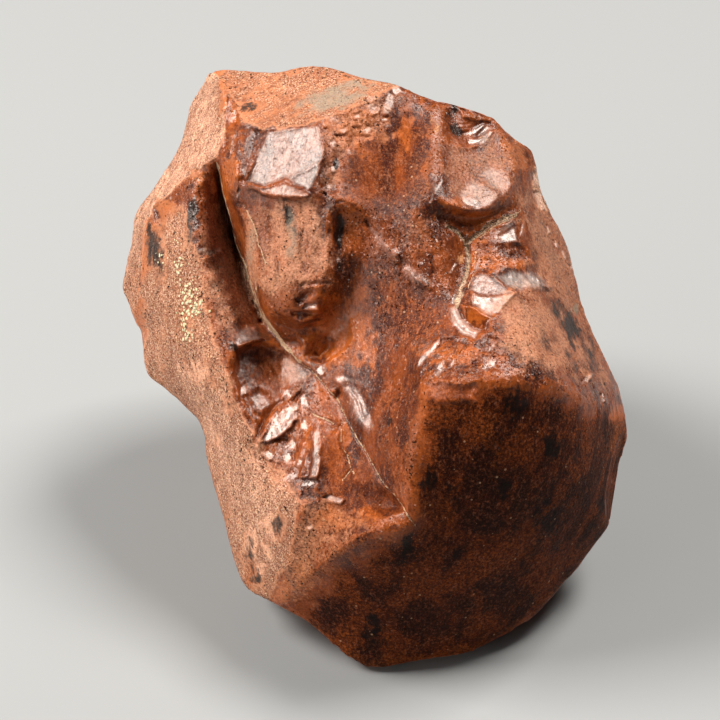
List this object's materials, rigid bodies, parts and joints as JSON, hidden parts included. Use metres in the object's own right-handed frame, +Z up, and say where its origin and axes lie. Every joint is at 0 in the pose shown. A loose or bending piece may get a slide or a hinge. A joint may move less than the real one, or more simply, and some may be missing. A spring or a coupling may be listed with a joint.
{
  "type": "rough mahogany obsidian chunk",
  "caption": "Hand-sized rough chunk of mahogany obsidian with conchoidal scars, a frosted side and a long healed crack, resting on one flat fracture face.",
  "frame": {"origin": "centre of the stone's box, at the height of the flat face that it rests on", "axes": "+Z up; -Y towards the front, which has the scars and the crack; +X to the right seen from the front"},
  "size_m": [0.103, 0.0954, 0.0929],
  "materials": {
    "obsidian": "red-brown volcanic glass with black blotches, glossy on fresh scars and frosted on worn faces"
  },
  "bodies": {
    "root": {"obsidian_stone": "obsidian"}
  },
  "joints": []
}
